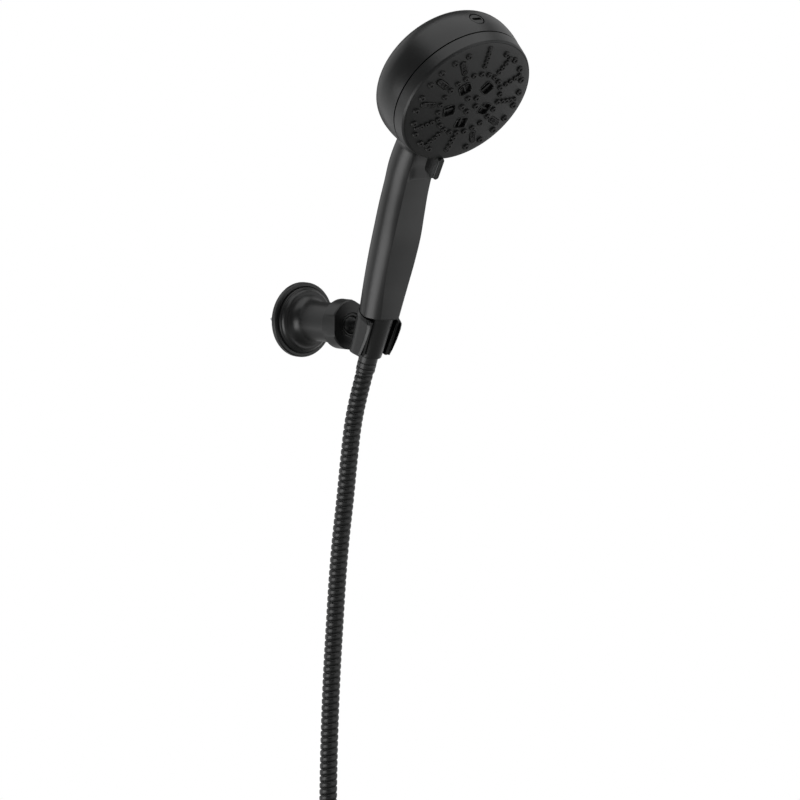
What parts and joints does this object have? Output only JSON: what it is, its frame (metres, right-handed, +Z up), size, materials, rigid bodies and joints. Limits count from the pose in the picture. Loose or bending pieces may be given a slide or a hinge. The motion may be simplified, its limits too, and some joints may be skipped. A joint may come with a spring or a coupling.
{
  "type": "handheld shower head",
  "caption": "Handheld shower head with a round spray face, resting in a swivelling wall cradle, with its spiral metal hose.",
  "frame": {"origin": "centre of the bracket's back, on the wall", "axes": "+Z up, +Y into the wall, so the shower head reaches out along -Y; +X to the right as seen facing the wall"},
  "size_m": [0.2168, 0.2457, 0.8592],
  "materials": {
    "matte_black_plastic": "satin",
    "matte_black_metal": "satin",
    "hose_metal": "satin",
    "black_rubber": "matte",
    "grey_plastic": "matte",
    "white_plastic": "satin",
    "steel": "satin",
    "brass": "satin"
  },
  "bodies": {
    "bracket": {"mounting_post": "matte_black_metal", "wall_screw_right": "steel", "wall_screw_left": "steel", "wall_flange": "matte_black_metal", "flange_gasket": "black_rubber", "flange_set_screw": "steel", "seat_spring": "steel", "ball_seat": "white_plastic", "lock_nut": "matte_black_metal"},
    "tilt_pin": {"ball_key_pin": "steel"},
    "cradle": {"swivel_ball": "matte_black_metal", "cradle_clip": "matte_black_plastic", "cradle_cover": "matte_black_plastic", "stem_screw": "steel"},
    "handset": {"body_shell": "matte_black_plastic", "grip_panel": "matte_black_plastic", "retaining_plug": "matte_black_plastic", "face_plate": "matte_black_plastic", "nozzle_mat": "black_rubber", "kinetic_insert_1": "grey_plastic", "kinetic_insert_2": "grey_plastic", "kinetic_insert_3": "grey_plastic", "kinetic_insert_4": "grey_plastic", "kinetic_insert_5": "grey_plastic", "spray_plate": "grey_plastic", "port_plate": "grey_plastic", "engine_screw_1": "steel", "engine_screw_2": "steel", "engine_screw_3": "steel", "engine_bolt": "brass", "rotor_seal": "black_rubber", "diverter_seal": "black_rubber", "diverter_spring": "steel", "detent_ball": "steel", "detent_spring": "steel", "tube_o_ring": "black_rubber", "water_tube": "white_plastic", "inlet_nipple": "brass", "flow_regulator": "white_plastic", "check_valve_body": "white_plastic", "check_valve_spring": "steel", "inlet_washer": "black_rubber", "hose_insert": "brass", "upper_ferrule": "hose_metal"},
    "selector": {"selector_ring": "matte_black_plastic", "diverter_disc": "white_plastic"},
    "valve_poppet": {"check_valve_poppet": "grey_plastic"},
    "hose_nut": {"cone_nut": "matte_black_metal"},
    "hose": {"hose": "hose_metal", "hose_coil": "hose_metal", "coil_tie": "black_rubber", "hose_tail": "hose_metal", "lower_ferrule": "hose_metal", "lower_insert": "brass", "hex_nut": "matte_black_metal", "hex_nut_washer": "black_rubber"}
  },
  "joints": [
    {"name": "cradle_tilt", "type": "hinge", "parent": "bracket", "child": "tilt_pin", "pos_m": [0, -0.0545, 0], "axis": [1, 0, 0], "range_deg": [-15, 15]},
    {"name": "cradle_turn", "type": "hinge", "parent": "tilt_pin", "child": "cradle", "pos_m": [0, -0.0545, 0], "axis": [0, 0, 1], "range_deg": [-15, 15]},
    {"name": "handset_lift", "type": "slide", "parent": "cradle", "child": "handset", "axis": [0, -0.3584, 0.9336], "range_m": [0, 0.06]},
    {"name": "selector_turn", "type": "hinge", "parent": "handset", "child": "selector", "pos_m": [0, -0.2004, 0.17504], "axis": [0, -0.829, -0.5592], "range_deg": [-36, 36]},
    {"name": "hose_nut_turn", "type": "hinge", "parent": "handset", "child": "hose_nut", "pos_m": [0, -0.0937, 0.0098], "axis": [0, -0.3584, 0.9336], "continuous": true},
    {"name": "valve_poppet_slide", "type": "slide", "parent": "handset", "child": "valve_poppet", "axis": [0, -0.3584, 0.9336], "range_m": [0, 0.001], "stiffness_N_per_m": 30, "springref_m": -0.001},
    {"name": "hose_hang", "type": "hinge", "parent": "handset", "child": "hose", "pos_m": [0, -0.07612, -0.03599], "axis": [1, 0, 0], "range_deg": [-15, 15]}
  ],
  "couplings": [
    {"joint": "hose_hang", "follows": "cradle_tilt", "ratio": -1}
  ]
}
